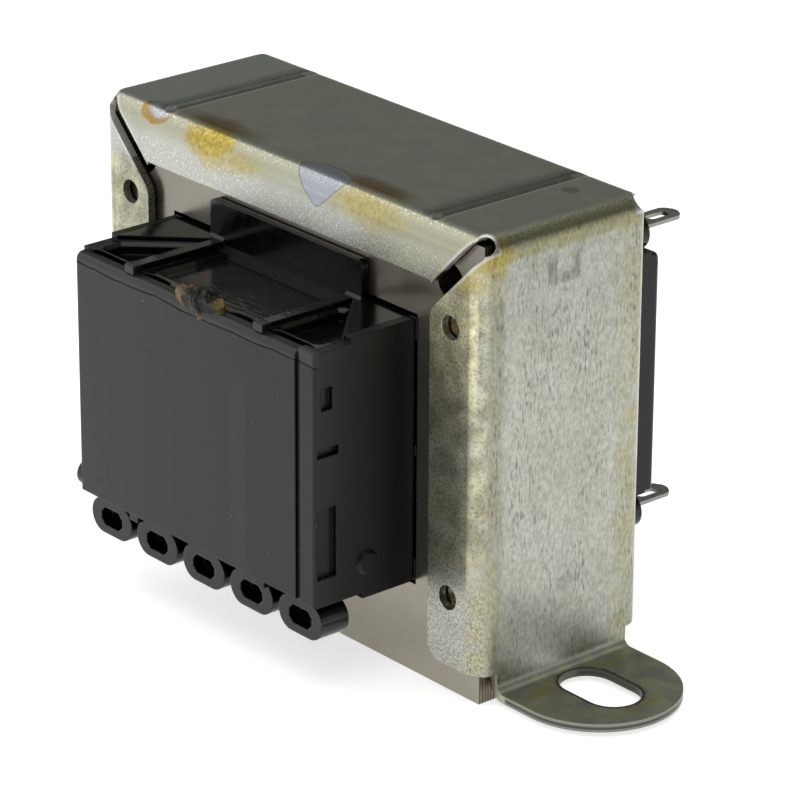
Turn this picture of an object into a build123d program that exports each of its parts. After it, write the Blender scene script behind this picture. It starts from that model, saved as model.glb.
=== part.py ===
from build123d import *
import os

# Chassis mount transformer: an E and I core held in a folded steel clamp with two slotted feet,
# a two-section bobbin, moulded covers front and rear, and solder tags at the rear.
# Frame of the part: X along the feet, +Y towards the solder tags, Z up from the core's underside.

os.makedirs("parts", exist_ok=True)

# Core of E and I laminations, middle limb upright
limb_width = 18.0
outer_limb_width = 9.0
window_width = 9.0
window_height = 27.0
yoke_height = 9.0
stack_depth = 18.5
bolt_hole_diameter = 3.6

# Clamp folded from one sheet
sheet = 0.8
clamp_gap_end = 0.3
clamp_gap_face = 0.2
clamp_gap_top = 0.3
bend_radius = 2.0
bend_inside = 0.4
top_lip_depth = 5.7
end_lip_depth = 7.3
lip_end_height = 3.1
lip_corner_radius = 1.6
lip_shoulder_radius = 2.0
slit_width = 1.8
slit_end_margin = 1.5
slit_depth = 1.2
lip_hole_diameter = 2.4
lip_hole_pitch = 47.2
lip_hole_low = 10.0
lip_hole_drop = 9.5
crease_places = (-18.7, 20.1)
crease_radius = 1.0
crease_depth = 0.35

# Feet
foot_lift = 0.5
foot_width = 16.2
foot_reach = 12.9
foot_bend = 0.9
fixing_pitch = 67.0
slot_length = 8.8
slot_width = 5.5

# Bobbin
limb_clearance = 0.2
bobbin_wall = 1.0
flange_thickness = 2.2
flange_end_gap = 0.4
flange_side_gap = 0.2
middle_flange_thickness = 1.0
core_face_gap = 0.2
barrier_width = 22.4
barrier_height = 3.8
barrier_thickness = 0.7
barrier_corner = 0.6
barrier_root = 0.25
rib_place = 9.6
rib_width = 1.2
recess_depth = 0.7
tray_depth = 0.5
tray_side_gap = 1.1
shelf_drop = 0.55
pocket_depth = 1.2
pocket_bevel = 0.35
pocket_corner = 0.5
rim_width = 0.9
diagonal_start = 17.0
wire_notch_depth = 0.6
wire_notch_gap = 0.9

# Terminal tubes and solder tags
tube_pitch = 7.2
tube_count = 5
tube_width = 6.3
tube_height = 3.6
tube_length = 3.2
low_tube_root = 0.1
high_tube_root = 0.8
mouth_width = 3.3
mouth_height = 1.9
mouth_corner = 0.6
mouth_depth = 1.3
tag_width = 2.8
tag_thickness = 0.4
primary_tag_reach = 26.6
secondary_tag_reach = 26.3
tag_tail = 1.2
tag_tip_width = 1.6
tag_taper = 0.9
tag_tip_corner = 0.5
tag_eye_length = 2.6
tag_eye_width = 1.2
tag_eye_margin = 1.2
tag_clearance = 0.05

# Windings, insulation and lead-out wires
winding_gap = 0.1
primary_build = 4.9
secondary_inner_build = 2.3
secondary_outer_build = 2.4
interlayer_tape = 0.2
outer_tape = 0.3
primary_wire = 0.6
secondary_wire = 0.9
lead_hole_gap = 0.2
lead_overlap = 6.0
lead_sides = 12

# Moulded covers
cover_reach = 21.4
cover_wall = 0.9
cover_fit = 0.05
cover_corner = 0.45
cover_end_drop = 0.55
panel_step = 0.25
joint_place = 15.2
panel_drop = 0.8
panel_round = 0.8
groove_width = 0.25
groove_depth = 0.4
cheek_ear_reaches = (6.1, 7.5)
hook_width = 1.3
recess_cut = 0.55
recess_places = ((0.7, 30.4), (0.25, 25.2), (0.25, 16.2))
recess_sizes = ((1.3, 2.2), (2.5, 0.9), (2.2, 7.0))
boss_height_place = 13.0
boss_reach_place = 15.1
boss_radius = 1.2
boss_height = 0.35
boss_bevel = 0.25
pip_height_place = 11.5
pip_radius = 1.35
pip_height = 0.75
pip_bevel = 0.25

# Worked out from the values above
core_length = limb_width + 2 * (window_width + outer_limb_width)
core_height = window_height + 2 * yoke_height
core_face = stack_depth / 2
window_top = yoke_height + window_height
window_middle = yoke_height + window_height / 2
window_pitch = limb_width + window_width
bolt_pitch = core_length - outer_limb_width

cavity_length = core_length + 2 * clamp_gap_end
cavity_width = stack_depth + 2 * clamp_gap_face
cavity_top = core_height + clamp_gap_top
clamp_length = cavity_length + 2 * sheet
clamp_width = cavity_width + 2 * sheet
clamp_top = cavity_top + sheet
lip_inner = clamp_length / 2 - end_lip_depth
lip_lower = clamp_top - top_lip_depth
corner_inset = bend_radius * (1 - 3 ** -0.5)
lip_hole_heights = (lip_hole_low, clamp_top - lip_hole_drop)

bore_x = limb_width + 2 * limb_clearance
bore_y = stack_depth + 2 * limb_clearance
tube_x = bore_x + 2 * bobbin_wall
tube_y = bore_y + 2 * bobbin_wall
flange_low = yoke_height + flange_end_gap
flange_high = window_top - flange_end_gap
flange_half = window_width + limb_width / 2 - flange_side_gap
front_line = core_face + core_face_gap
cover_front = cover_reach - panel_step
cover_inside = cover_front - cover_wall
flange_reach = cover_inside - cover_fit
cheek_inside = flange_half - cover_wall
flange_outer_half = cheek_inside - cover_fit
barrier_front = front_line + barrier_thickness

low_row = flange_low - tube_height / 2 + low_tube_root
high_row = flange_high + tube_height / 2 - high_tube_root
tag_places = (-2 * tube_pitch, -tube_pitch, tube_pitch, 2 * tube_pitch)
tag_root = flange_reach - tube_length - tag_tail


def upright(y):
    """Sketch plane facing the front, at the given Y, with local axes X and Z."""
    return Plane.XZ.offset(-y)


def wound_outline(build, mode=Mode.ADD):
    """Outline of the coil once it is as thick as build: wire cuts across the corners."""
    with BuildSketch(mode=Mode.PRIVATE) as outline:
        Rectangle(tube_x + 2 * build, tube_y + 2 * build)
        if build > 0:
            chamfer(outline.vertices(), build / 2)
    add(outline.sketch, mode=mode)


def wound_ring(inside, build, low, high):
    """Layer wound on the bobbin, as thick as build, over what already lies inside it."""
    with BuildPart() as ring:
        with BuildSketch(Plane.XY.offset(low)):
            wound_outline(inside + build)
            wound_outline(inside, mode=Mode.SUBTRACT)
        extrude(amount=high - low)
    return ring


def write(builder, name):
    """Label a finished piece and write it to its own file."""
    builder.part.label = name
    export_step(builder.part, f"parts/{name}.step")


# E laminations: lower yoke and three limbs
with BuildPart() as e_laminations:
    with BuildSketch(Plane.XZ):
        with Locations((0, window_top / 2)):
            Rectangle(core_length, window_top)
        with Locations((0, window_middle)):
            with GridLocations(window_pitch, 0, 2, 1):
                Rectangle(window_width, window_height, mode=Mode.SUBTRACT)
        with Locations((0, yoke_height / 2)):
            with GridLocations(bolt_pitch, 0, 2, 1):
                Circle(bolt_hole_diameter / 2, mode=Mode.SUBTRACT)
    extrude(amount=core_face, both=True)
write(e_laminations, "e_laminations")

# I laminations: upper yoke lying on the limbs
with BuildPart() as i_laminations:
    with BuildSketch(Plane.XZ):
        with Locations((0, window_top + yoke_height / 2)):
            Rectangle(core_length, yoke_height)
            with GridLocations(bolt_pitch, 0, 2, 1):
                Circle(bolt_hole_diameter / 2, mode=Mode.SUBTRACT)
    extrude(amount=core_face, both=True)
write(i_laminations, "i_laminations")

# Space inside the clamp
with BuildPart() as cavity:
    with BuildSketch(Plane.XY):
        Rectangle(cavity_length, cavity_width)
    extrude(amount=cavity_top)
    chamfer(cavity.edges().filter_by(Axis.Z), bend_inside)
    chamfer(cavity.faces().sort_by(Axis.Z)[-1].edges(), bend_inside)

# Feet: the end walls turn outwards below the lips and end in full rounds
foot_top = foot_lift + sheet
wall_inner = cavity_length / 2
wall_outer = clamp_length / 2
foot_tip = wall_outer + foot_reach
with BuildPart() as feet:
    with BuildSketch(Plane.XZ):
        with BuildLine():
            bend = (wall_outer + foot_bend, foot_top + foot_bend)
            Line((wall_inner, lip_end_height), (wall_outer, lip_end_height))
            Line((wall_outer, lip_end_height), (wall_outer, bend[1]))
            RadiusArc((wall_outer, bend[1]), (bend[0], foot_top), -foot_bend)
            Line((bend[0], foot_top), (foot_tip, foot_top))
            Line((foot_tip, foot_top), (foot_tip, foot_lift))
            Line((foot_tip, foot_lift), (bend[0], foot_lift))
            RadiusArc((bend[0], foot_lift), (wall_inner, bend[1]), foot_bend + sheet)
            Line((wall_inner, bend[1]), (wall_inner, lip_end_height))
        make_face()
        mirror(about=Plane.YZ)
    extrude(amount=foot_width / 2, both=True)
    with BuildSketch(Plane.XY):
        SlotOverall(2 * foot_tip, foot_width)
    extrude(amount=clamp_top, mode=Mode.INTERSECT)
    with BuildSketch(Plane.XY):
        with GridLocations(fixing_pitch, 0, 2, 1):
            SlotOverall(slot_length, slot_width)
    extrude(amount=foot_top, mode=Mode.SUBTRACT)

# Clamp: top, end walls and lips bent from one sheet, with slits at the corners
with BuildPart() as frame:
    with BuildSketch(Plane.XY.offset(lip_end_height)):
        Rectangle(clamp_length, clamp_width)
    extrude(amount=clamp_top - lip_end_height)
    fillet(frame.edges().filter_by(Axis.Z) + frame.faces().sort_by(Axis.Z)[-1].edges(), bend_radius)
    add(cavity.part, mode=Mode.SUBTRACT)
    slit_start = lip_inner - slit_width
    slit_run = clamp_length / 2 - slit_end_margin - slit_start
    slit_middle = slit_start + slit_run / 2
    for side in (-1, 1):
        with BuildSketch(upright(side * clamp_width / 2)) as opening:
            with Locations((0, lip_lower / 2)):
                Rectangle(2 * lip_inner, lip_lower)
            for end in (-1, 1):
                with Locations((end * slit_middle, slit_middle + clamp_top - clamp_length / 2)):
                    SlotCenterToCenter(slit_run * 2 ** 0.5, slit_width, rotation=end * 45)
            shoulders = opening.vertices().filter_by(lambda corner: sheet < corner.Y < lip_lower - slit_width)
            fillet(shoulders, lip_shoulder_radius)
        extrude(amount=side * slit_depth, mode=Mode.SUBTRACT)
        # Round end of each slit, cut square to the corner that it runs over
        for end in (-1, 1):
            apex = (end * (clamp_length / 2 - corner_inset), side * (clamp_width / 2 - corner_inset))
            with BuildSketch(Plane((*apex, clamp_top - corner_inset), z_dir=(end, side, 1))):
                Circle(slit_width / 2)
            extrude(amount=bend_radius, both=True, mode=Mode.SUBTRACT)
    with BuildSketch(Plane.XZ):
        for height in lip_hole_heights:
            with Locations((0, height)):
                with GridLocations(lip_hole_pitch, 0, 2, 1):
                    Circle(lip_hole_diameter / 2)
    extrude(amount=clamp_width, both=True, mode=Mode.SUBTRACT)
    lip_ends = frame.edges().filter_by(Axis.Y).group_by(Axis.Z)[0]
    fillet(lip_ends.filter_by(lambda edge: abs(edge.center().X) < lip_inner + sheet), lip_corner_radius)
    with BuildSketch(Plane.XZ):
        for place in crease_places:
            with Locations((place, clamp_top + crease_radius - crease_depth)):
                Circle(crease_radius)
    extrude(amount=clamp_width, both=True, mode=Mode.SUBTRACT)
    add(feet.part)
write(frame, "frame")

# Bobbin: tube round the limb, three flanges, terminal tubes, and wire guides on the front of the top flange
with BuildPart() as bobbin:
    flange_places = (
        (flange_low, flange_thickness),
        (window_middle - middle_flange_thickness / 2, middle_flange_thickness),
        (flange_high - flange_thickness, flange_thickness),
    )
    with BuildSketch(Plane.XY.offset(flange_low)):
        Rectangle(tube_x, tube_y)
    extrude(amount=flange_high - flange_low)
    for low, thickness in flange_places:
        with BuildSketch(Plane.XY.offset(low)):
            Rectangle(2 * flange_outer_half, 2 * flange_reach)
            Rectangle(2 * flange_half, 2 * core_face)
        extrude(amount=thickness)
    # Barrier in front of the upper yoke
    with BuildSketch(upright(-front_line)):
        with Locations((0, flange_high + barrier_height / 2)):
            barrier = Rectangle(barrier_width, barrier_height)
        fillet(barrier.vertices().group_by(Axis.Y)[-1], barrier_corner)
    extrude(amount=barrier_thickness)
    # Lowered middle between the ribs, with a shallow tray in it
    recess_half = rib_place - rib_width / 2
    recess_run = flange_reach - barrier_front
    with BuildSketch(Plane.XY.offset(flange_high)):
        with Locations((0, -barrier_front - recess_run / 2)):
            Rectangle(2 * recess_half, recess_run)
    extrude(amount=-recess_depth, mode=Mode.SUBTRACT)
    # Small root along the foot of the barrier
    outside_recess = barrier_width / 2 - recess_half
    for start, run, foot in (
        (-recess_half, 2 * recess_half, flange_high - recess_depth),
        (-barrier_width / 2, outside_recess, flange_high),
        (recess_half, outside_recess, flange_high),
    ):
        with BuildSketch(Plane.YZ.offset(start)):
            with BuildLine():
                Polyline(
                    (-barrier_front, foot),
                    (-barrier_front - barrier_root, foot),
                    (-barrier_front, foot + barrier_root),
                    close=True,
                )
            make_face()
        extrude(amount=run)
    tray_run = recess_run - rim_width - barrier_root
    with BuildSketch(Plane.XY.offset(flange_high - recess_depth)):
        with Locations((0, -barrier_front - barrier_root - tray_run / 2)):
            Rectangle(2 * (recess_half - tray_side_gap), tray_run)
    extrude(amount=-tray_depth, taper=45, mode=Mode.SUBTRACT)
    # Lower shelf outside each rib, closed at the back by a diagonal step, with a three-sided pocket in it
    shelf_inner = rib_place + rib_width / 2
    shelf_back = diagonal_start - (flange_outer_half - shelf_inner)
    with BuildSketch(Plane.XY.offset(flange_high)):
        with BuildLine():
            Polyline(
                (shelf_inner, -flange_reach),
                (flange_outer_half, -flange_reach),
                (flange_outer_half, -diagonal_start),
                (shelf_inner, -shelf_back),
                close=True,
            )
        make_face()
        mirror(about=Plane.YZ)
    extrude(amount=-shelf_drop, mode=Mode.SUBTRACT)
    pocket_inner = shelf_inner + pocket_bevel
    pocket_outer = flange_outer_half - rim_width
    pocket_front = flange_reach - rim_width
    pocket_back = shelf_back + rim_width
    with BuildSketch(Plane.XY.offset(flange_high - shelf_drop - pocket_bevel)) as pockets:
        with BuildLine():
            Polyline(
                (pocket_inner, -pocket_front),
                (pocket_outer, -pocket_front),
                (pocket_outer, -diagonal_start),
                (pocket_inner, -pocket_back),
                close=True,
            )
        make_face()
        mirror(about=Plane.YZ)
        fillet(pockets.vertices(), pocket_corner)
    extrude(amount=pocket_bevel, taper=-45, mode=Mode.SUBTRACT)
    with BuildSketch(Plane.XY.offset(flange_high - shelf_drop - pocket_bevel)):
        add(pockets.sketch)
    extrude(amount=pocket_bevel - pocket_depth, mode=Mode.SUBTRACT)
    # Shallow wire notches in the front edge, either side of each rib
    middle_notch = (recess_half - wire_notch_gap) / 4
    end_notch = (flange_outer_half - shelf_inner - wire_notch_gap) / 2
    with BuildSketch(Plane.XY.offset(flange_high)):
        with Locations((recess_half - wire_notch_gap / 2 - middle_notch, -flange_reach)):
            Ellipse(middle_notch, wire_notch_depth)
        with Locations((shelf_inner + wire_notch_gap / 2 + end_notch, -flange_reach)):
            Ellipse(end_notch, wire_notch_depth)
        mirror(about=Plane.YZ)
    extrude(amount=-flange_thickness, mode=Mode.SUBTRACT)
    # Rows of terminal tubes: front bottom, rear bottom and rear top
    for side, height in ((-1, low_row), (1, low_row), (1, high_row)):
        with BuildSketch(upright(side * flange_reach)):
            with Locations((0, height)):
                with GridLocations(tube_pitch, 0, tube_count, 1):
                    SlotOverall(tube_width, tube_height)
        extrude(amount=side * tube_length)
        with BuildSketch(upright(side * flange_reach)) as mouths:
            with Locations((0, height)):
                with GridLocations(tube_pitch, 0, tube_count, 1):
                    Rectangle(mouth_width, mouth_height)
            chamfer(mouths.vertices(), mouth_corner)
        extrude(amount=side * mouth_depth, mode=Mode.SUBTRACT)
        with BuildSketch(upright(side * flange_reach)):
            with Locations((0, height)):
                with GridLocations(tube_pitch, 0, tube_count, 1):
                    Rectangle(tag_width + 2 * tag_clearance, tag_thickness + 2 * tag_clearance)
        extrude(amount=side * tube_length, mode=Mode.SUBTRACT)
    # Holes that bring the lead-out wires through the flanges
    lead_hole = secondary_wire + 2 * lead_hole_gap
    lead_line = tag_root + tag_tail / 2
    with BuildSketch(Plane.XY):
        for place in tag_places:
            with Locations((place, lead_line)):
                Rectangle(lead_hole, lead_hole)
    extrude(amount=flange_low + flange_thickness, mode=Mode.SUBTRACT)
    with BuildSketch(Plane.XY.offset(flange_high - flange_thickness)):
        for place in tag_places:
            with Locations((place, lead_line)):
                Rectangle(lead_hole, lead_hole)
    extrude(amount=flange_thickness, mode=Mode.SUBTRACT)
    # Bore for the limb
    with BuildSketch(Plane.XY.offset(flange_low)):
        Rectangle(bore_x, bore_y)
    extrude(amount=flange_high - flange_low, mode=Mode.SUBTRACT)
write(bobbin, "bobbin")

# Windings and insulation, one above and one below the middle flange
upper_low = window_middle + middle_flange_thickness / 2 + winding_gap
upper_high = flange_high - flange_thickness - winding_gap
lower_low = flange_low + flange_thickness + winding_gap
lower_high = window_middle - middle_flange_thickness / 2 - winding_gap
write(wound_ring(0, primary_build, upper_low, upper_high), "primary_winding")
write(wound_ring(primary_build, outer_tape, upper_low, upper_high), "primary_tape")
write(wound_ring(0, secondary_inner_build, lower_low, lower_high), "secondary_winding_inner")
interlayer_inside = secondary_inner_build
write(wound_ring(interlayer_inside, interlayer_tape, lower_low, lower_high), "secondary_interlayer_tape")
outer_inside = interlayer_inside + interlayer_tape
write(wound_ring(outer_inside, secondary_outer_build, lower_low, lower_high), "secondary_winding_outer")
tape_inside = outer_inside + secondary_outer_build
write(wound_ring(tape_inside, outer_tape, lower_low, lower_high), "secondary_tape")


def solder_tag(place, height, reach):
    """Flat tag through a terminal tube, with a tapered tip and a long eye for the user's wire."""
    with BuildPart() as tag:
        with BuildSketch(Plane.XY.offset(height - tag_thickness / 2)) as outline:
            with BuildLine():
                Polyline(
                    (place - tag_width / 2, tag_root),
                    (place + tag_width / 2, tag_root),
                    (place + tag_width / 2, reach - tag_taper),
                    (place + tag_tip_width / 2, reach),
                    (place - tag_tip_width / 2, reach),
                    (place - tag_width / 2, reach - tag_taper),
                    close=True,
                )
            make_face()
            chamfer(outline.vertices().group_by(Axis.Y)[-1], tag_tip_corner)
            with Locations((place, reach - tag_eye_margin - tag_eye_length / 2)):
                SlotOverall(tag_eye_length, tag_eye_width, rotation=90, mode=Mode.SUBTRACT)
        extrude(amount=tag_thickness)
    return tag


def lead_wire(place, wire, low, high):
    """Straight end of a winding's wire, from beside the coil to the tag that it is soldered to."""
    with BuildPart() as lead:
        with BuildSketch(Plane.XY.offset(low)):
            with Locations((place, lead_line)):
                RegularPolygon(wire / 2, lead_sides)
        extrude(amount=high - low)
    return lead


for number, place in enumerate(tag_places, start=1):
    write(solder_tag(place, high_row, primary_tag_reach), f"primary_tag_{number}")
    write(solder_tag(place, low_row, secondary_tag_reach), f"secondary_tag_{number}")
    upper_end = high_row - tag_thickness / 2
    lower_end = low_row + tag_thickness / 2
    write(lead_wire(place, primary_wire, upper_high - lead_overlap, upper_end), f"primary_lead_{number}")
    write(lead_wire(place, secondary_wire, lower_end, lower_low + lead_overlap), f"secondary_lead_{number}")

# Cover moulding: a U whose panel runs from one corner to a joint beside the other corner post
cover_low = flange_low + cover_end_drop
cover_high = flange_high - cover_end_drop
panel_low = flange_low + panel_drop
panel_high = flange_high - panel_drop
with BuildPart() as cover:
    cheek_run = cover_front - front_line
    with BuildSketch(Plane.XY.offset(cover_low)):
        with Locations((0, -front_line - cheek_run / 2)):
            outline = Rectangle(2 * flange_half, cheek_run)
        fillet(outline.vertices().group_by(Axis.Y)[0].sort_by(Axis.X)[-1], cover_corner)
        with Locations((0, -cover_inside / 2)):
            Rectangle(2 * cheek_inside, cover_inside, mode=Mode.SUBTRACT)
    extrude(amount=cover_high - cover_low)
    # Taller ears of the cheeks beside the core
    for low, ear_reach in zip((flange_low, window_middle), cheek_ear_reaches):
        with BuildSketch(Plane.XY.offset(low)):
            with Locations((0, -front_line - ear_reach / 2)):
                with GridLocations(2 * flange_half - cover_wall, 0, 2, 1):
                    Rectangle(cover_wall, ear_reach)
        extrude(amount=(flange_high - flange_low) / 2)
    # Raised panel, lower than the cheeks, rounded at the top, with a groove at its joint
    panel_width = flange_half + joint_place
    panel_middle = joint_place - panel_width / 2
    for low, high in ((cover_low, panel_low), (panel_high, cover_high)):
        with BuildSketch(upright(-cover_inside)):
            with Locations((panel_middle + groove_width / 2, (low + high) / 2)):
                Rectangle(panel_width + groove_width, high - low)
        extrude(amount=cover_wall, mode=Mode.SUBTRACT)
    with BuildSketch(upright(-cover_front)):
        with Locations((panel_middle, window_middle)):
            Rectangle(panel_width, panel_high - panel_low)
    extrude(amount=panel_step)
    panel_face = cover.faces().sort_by(Axis.Y)[0]
    fillet(panel_face.edges().filter_by(Axis.X).sort_by(Axis.Z)[-1], panel_round)
    free_edge = cover.faces().sort_by(Axis.Y)[0].edges().sort_by(Axis.X)[0]
    fillet(free_edge, cover_corner)
    with BuildSketch(upright(-cover_front)):
        with Locations((joint_place + groove_width / 2, window_middle)):
            Rectangle(groove_width, cover_high - cover_low)
    extrude(amount=-groove_depth, mode=Mode.SUBTRACT)
    # Hook tabs that stand up in front of the ribs, at the top and the bottom edge
    with BuildSketch(upright(-cover_inside)):
        for low, high in ((flange_low, panel_low), (panel_high, flange_high)):
            with Locations((0, (low + high) / 2)):
                with GridLocations(2 * rib_place, 0, 2, 1):
                    Rectangle(hook_width, high - low)
    extrude(amount=cover_wall)
    # Recesses beside the corner post, and a low button on the cheek behind it
    for (start, height), (run, tall) in zip(recess_places, recess_sizes):
        with BuildSketch(Plane.YZ.offset(flange_half)):
            with Locations((-cover_front + start + run / 2, height)):
                Rectangle(run, tall)
        extrude(amount=-recess_cut, mode=Mode.SUBTRACT)
    with BuildSketch(Plane.YZ.offset(flange_half)):
        with Locations((-boss_reach_place, boss_height_place)):
            Circle(boss_radius)
    extrude(amount=boss_height)
    chamfer(cover.faces().sort_by(Axis.X)[-1].edges(), boss_bevel)

# Front cover: the moulding, with a pip low on the free corner
with BuildPart() as front_cover:
    add(cover.part)
    with BuildSketch(Plane.YZ.offset(cover_corner - flange_half)):
        with Locations((pip_radius - cover_reach, pip_height_place)):
            Circle(pip_radius)
    extrude(amount=-cover_corner - pip_height)
    chamfer(front_cover.faces().sort_by(Axis.X)[0].edges(), pip_bevel)
write(front_cover, "front_cover")

# Rear cover: the same moulding turned round to face the tags
with BuildPart() as rear_cover:
    with Locations(Rotation(0, 0, 180)):
        add(cover.part)
write(rear_cover, "rear_cover")
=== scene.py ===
import math

import bpy
from mathutils import Matrix, Vector, noise


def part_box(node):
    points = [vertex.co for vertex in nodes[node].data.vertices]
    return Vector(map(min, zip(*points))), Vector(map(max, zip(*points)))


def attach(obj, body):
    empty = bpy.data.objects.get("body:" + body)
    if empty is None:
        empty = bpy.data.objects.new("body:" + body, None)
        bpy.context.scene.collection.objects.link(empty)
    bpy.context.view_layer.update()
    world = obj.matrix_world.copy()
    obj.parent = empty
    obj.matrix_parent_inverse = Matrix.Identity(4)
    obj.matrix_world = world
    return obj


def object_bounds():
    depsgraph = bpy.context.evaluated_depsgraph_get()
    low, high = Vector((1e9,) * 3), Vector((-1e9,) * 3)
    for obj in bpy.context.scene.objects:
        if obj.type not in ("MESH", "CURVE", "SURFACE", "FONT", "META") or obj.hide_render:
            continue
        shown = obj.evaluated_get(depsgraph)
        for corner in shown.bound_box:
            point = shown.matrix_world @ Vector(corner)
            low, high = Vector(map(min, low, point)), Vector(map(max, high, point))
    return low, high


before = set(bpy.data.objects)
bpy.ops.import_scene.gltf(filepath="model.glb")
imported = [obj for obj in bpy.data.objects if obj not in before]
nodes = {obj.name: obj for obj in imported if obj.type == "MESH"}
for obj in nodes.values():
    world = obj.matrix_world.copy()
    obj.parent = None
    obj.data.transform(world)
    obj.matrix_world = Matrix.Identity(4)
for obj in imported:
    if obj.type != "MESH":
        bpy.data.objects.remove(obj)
cad_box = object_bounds()

MM = 0.001
DIAGONAL = 0.5 ** 0.5

# Camera, from a fit to the photograph: angles in degrees, lengths in millimetres
IMAGE_WIDTH_PX = 800
FOCAL_PX = 4304.648
SENSOR_MM = 36.0
CAMERA_AZIMUTH = 49.334
CAMERA_ELEVATION = 22.483
CAMERA_ROLL = 0.328
CAMERA_DISTANCE = 413.23
CAMERA_SLIDE = (-3.126, 3.816)
CAMERA_TARGET = (0.0, 0.0, 23.556)
CAMERA_NEAR = 10.0

# Studio: lengths in metres, the floor's grey and lift as shares of white
FLOOR_HALF = 1.6
FLOOR_GREY = 0.86
FLOOR_LIFT = 0.68
PART_MIDDLE = (0.0, 0.0, 0.03)


def box_mm(name):
    """Lowest and highest corner of a CAD node, in millimetres."""
    low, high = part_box(name)
    return low / MM, high / MM


# Places on the part that the finishes follow, in millimetres
SHEET = 0.8
BEND = 2.0
CLAMP_FRONT = box_mm("frame")[0].y
CLAMP_REACH = -CLAMP_FRONT
CLAMP_TOP = box_mm("frame")[1].z
CORE_END = box_mm("e_laminations")[1].x
CORE_FACE = box_mm("e_laminations")[1].y
CLAMP_END = CORE_END + CLAMP_TOP - box_mm("i_laminations")[1].z
FOOT_TOP = box_mm("frame")[0].z + SHEET
TOP_LIP_LOW = CLAMP_TOP - 5.7
SIDE_LIP_EDGE = CLAMP_END - 7.3
SIDE_LIP_WORN = 16.0
LIP_HOLE_X = 23.6
LIP_HOLE_HIGH = CLAMP_TOP - 9.5
LIP_HOLE_LOW = 10.0
SLIT_HALF = 0.9
SLOT_PLACE = 33.5
SLOT_FLAT = 1.65
SLOT_RADIUS = 2.75
CREASES = (-18.7, 20.1)
COVER_FRONT = box_mm("front_cover")[0].y
COVER_REACH = -COVER_FRONT
COVER_TOP = box_mm("front_cover")[1].z
COVER_JOINT = 15.33
BEAD_Y = CLAMP_FRONT + 0.75


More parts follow.
